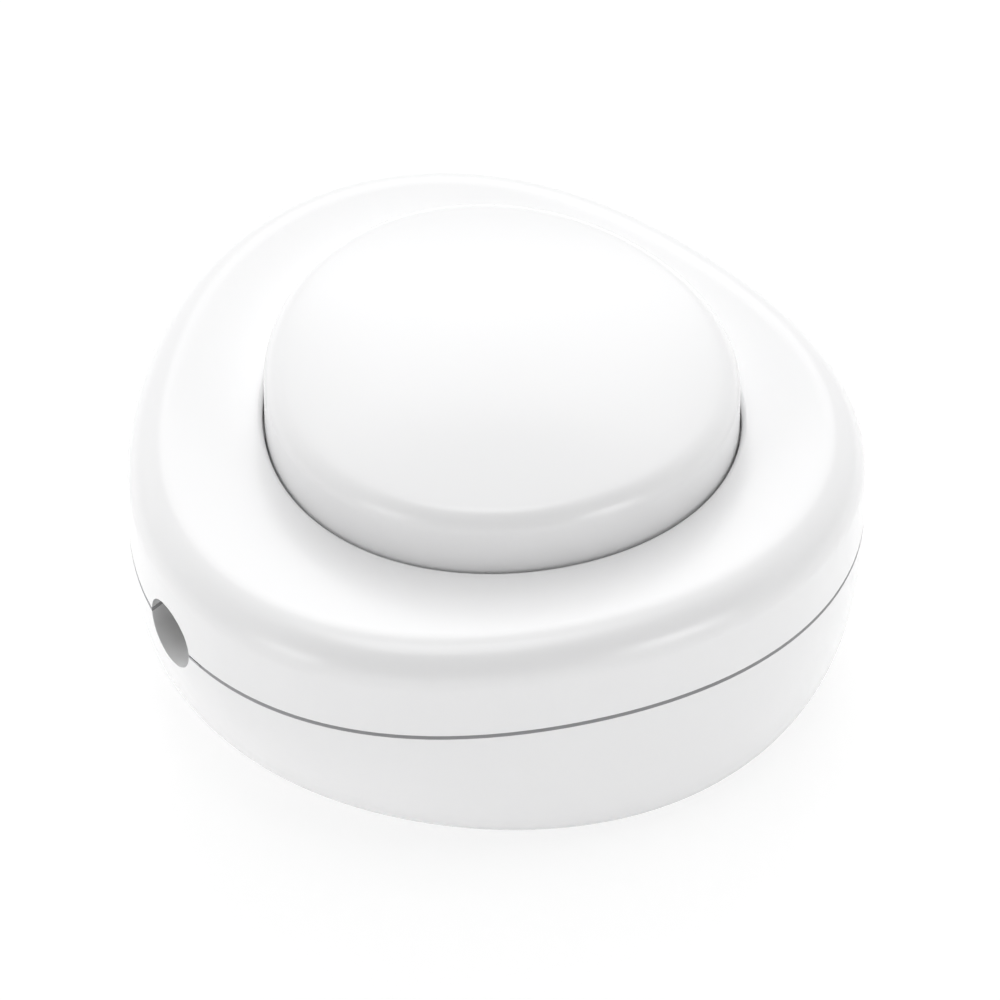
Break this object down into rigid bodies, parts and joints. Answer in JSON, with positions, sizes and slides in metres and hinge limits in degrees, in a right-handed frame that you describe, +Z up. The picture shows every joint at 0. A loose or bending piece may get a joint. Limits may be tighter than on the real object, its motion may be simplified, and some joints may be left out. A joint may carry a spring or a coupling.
{
  "type": "foot switch",
  "caption": "In-line foot switch: rounded three-lobed white plastic housing in two shells, with a large domed push button and two cord holes.",
  "frame": {"origin": "on the surface it stands on, under the middle of the housing's outline", "axes": "+Z up; +X towards the nose of the three-lobed housing, parallel to the cord; Y across, with the cord line on the -Y side"},
  "size_m": [0.069, 0.0716, 0.0356],
  "materials": {
    "white_housing": "satin gloss moulded white plastic",
    "natural_plastic": "matt natural moulded plastic",
    "spring_steel": "drawn spring wire",
    "plated_steel": "zinc plated",
    "brass": "stamped and turned brass",
    "contact_metal": "silver contact face"
  },
  "bodies": {
    "housing": {"base_shell": "white_housing", "cover_shell": "white_housing", "return_spring": "spring_steel", "mechanism_frame": "natural_plastic", "wheel_axle": "plated_steel", "lever_pin": "brass", "fixed_contact": "contact_metal", "fixed_contact_strip": "brass", "lever_strip": "brass", "incoming_terminal": "brass", "outgoing_terminal": "brass", "neutral_link": "brass", "terminal_screws": "plated_steel", "front_cord_clamp": "natural_plastic", "rear_cord_clamp": "natural_plastic", "clamp_screws": "plated_steel", "frame_screws": "plated_steel", "cover_screws": "plated_steel"},
    "button": {"push_button": "white_housing", "pawl_pin": "plated_steel"},
    "pawl": {"pawl": "natural_plastic"},
    "wheel": {"ratchet_wheel": "natural_plastic"},
    "lever": {"contact_lever": "brass", "moving_contact": "contact_metal"}
  },
  "joints": [
    {"name": "button_press", "type": "slide", "parent": "housing", "child": "button", "axis": [0, 0, -1], "range_m": [0, 0.0045], "stiffness_N_per_m": 1500, "springref_m": -0.004, "deforming": ["return_spring"]},
    {"name": "pawl_swing", "type": "hinge", "parent": "button", "child": "pawl", "pos_m": [-0.00645, -0.0004, 0.026], "axis": [-1, 0, 0], "range_deg": [0, 10], "stiffness_Nm_per_rad": 0.02, "springref_deg": -5.73},
    {"name": "wheel_turn", "type": "hinge", "parent": "housing", "child": "wheel", "pos_m": [-0.0038, 0.008, 0.0115], "axis": [1, 0, 0], "range_deg": [0, 60]},
    {"name": "lever_swing", "type": "hinge", "parent": "housing", "child": "lever", "pos_m": [-0.0038, 0.0152, 0.0054], "axis": [-1, 0, 0], "range_deg": [0, 17]}
  ],
  "couplings": [
    {"joint": "wheel_turn", "follows": "button_press", "rad_per_m": 174.52},
    {"joint": "lever_swing", "follows": "button_press", "rad_per_m": 50.997}
  ]
}
